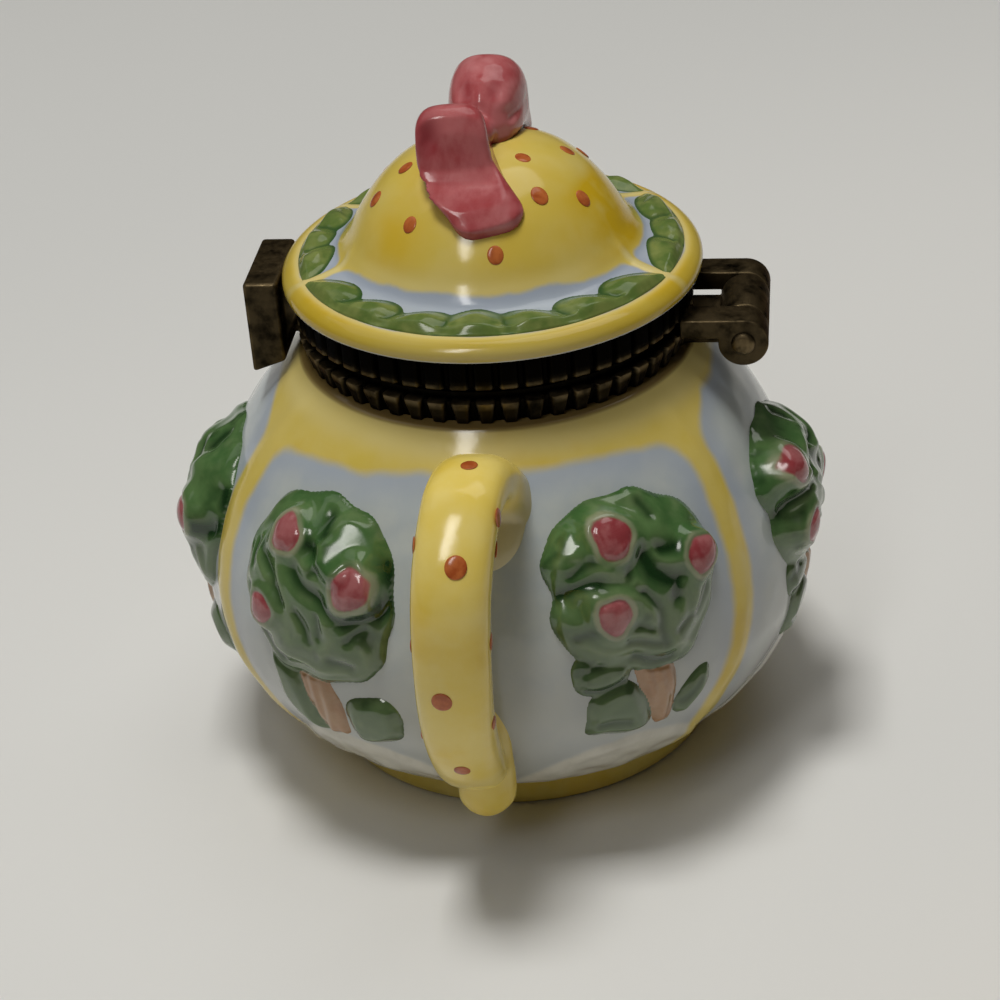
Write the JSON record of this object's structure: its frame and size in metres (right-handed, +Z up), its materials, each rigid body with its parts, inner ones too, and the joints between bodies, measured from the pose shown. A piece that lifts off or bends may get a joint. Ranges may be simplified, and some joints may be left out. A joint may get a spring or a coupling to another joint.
{
  "type": "hinged teapot trinket box",
  "caption": "Small porcelain trinket box shaped as a round teapot, with fluted metal rims, a side hinge and clasp, raised trees on the belly and a ribbon bow on the domed lid.",
  "frame": {"origin": "on the pot's axis at the underside of its foot ring", "axes": "+Z up, +X towards the hinge, +Y towards the spout, -Y towards the handle"},
  "size_m": [0.0485, 0.0589, 0.0512],
  "materials": {
    "sky_glaze": "glossy painted porcelain, pale blue panels with yellow collar, lines and foot",
    "yellow_glaze": "glossy painted porcelain, yellow with rust dots",
    "foliage_glaze": "glossy painted relief, greens with pink blossoms",
    "leaf_glaze": "glossy painted relief, green leaves",
    "ribbon_glaze": "glossy painted porcelain, streaked pink",
    "bronze": "darkened brass with worn edges",
    "pin_brass": "bare brass with peened ends"
  },
  "bodies": {
    "pot": {"pot_body": "sky_glaze", "handle": "yellow_glaze", "spout": "yellow_glaze", "tree_handle_right": "foliage_glaze", "tree_hinge": "foliage_glaze", "tree_spout_right": "foliage_glaze", "tree_spout_left": "foliage_glaze", "tree_clasp": "foliage_glaze", "tree_handle_left": "foliage_glaze", "lower_rim": "bronze", "hinge_leaf": "bronze", "hinge_pin": "pin_brass", "catch": "bronze"},
    "lid": {"lid_shell": "yellow_glaze", "leaves_handle": "leaf_glaze", "leaves_hinge": "leaf_glaze", "leaves_spout": "leaf_glaze", "leaves_clasp": "leaf_glaze", "bow_finial": "ribbon_glaze", "upper_rim": "bronze", "hinge_arm_front": "bronze", "hinge_arm_back": "bronze", "clasp": "bronze"}
  },
  "joints": [
    {"name": "lid_hinge", "type": "hinge", "parent": "pot", "child": "lid", "pos_m": [0.0179, 0, 0.03315], "axis": [0, 1, 0], "range_deg": [0, 100]}
  ]
}
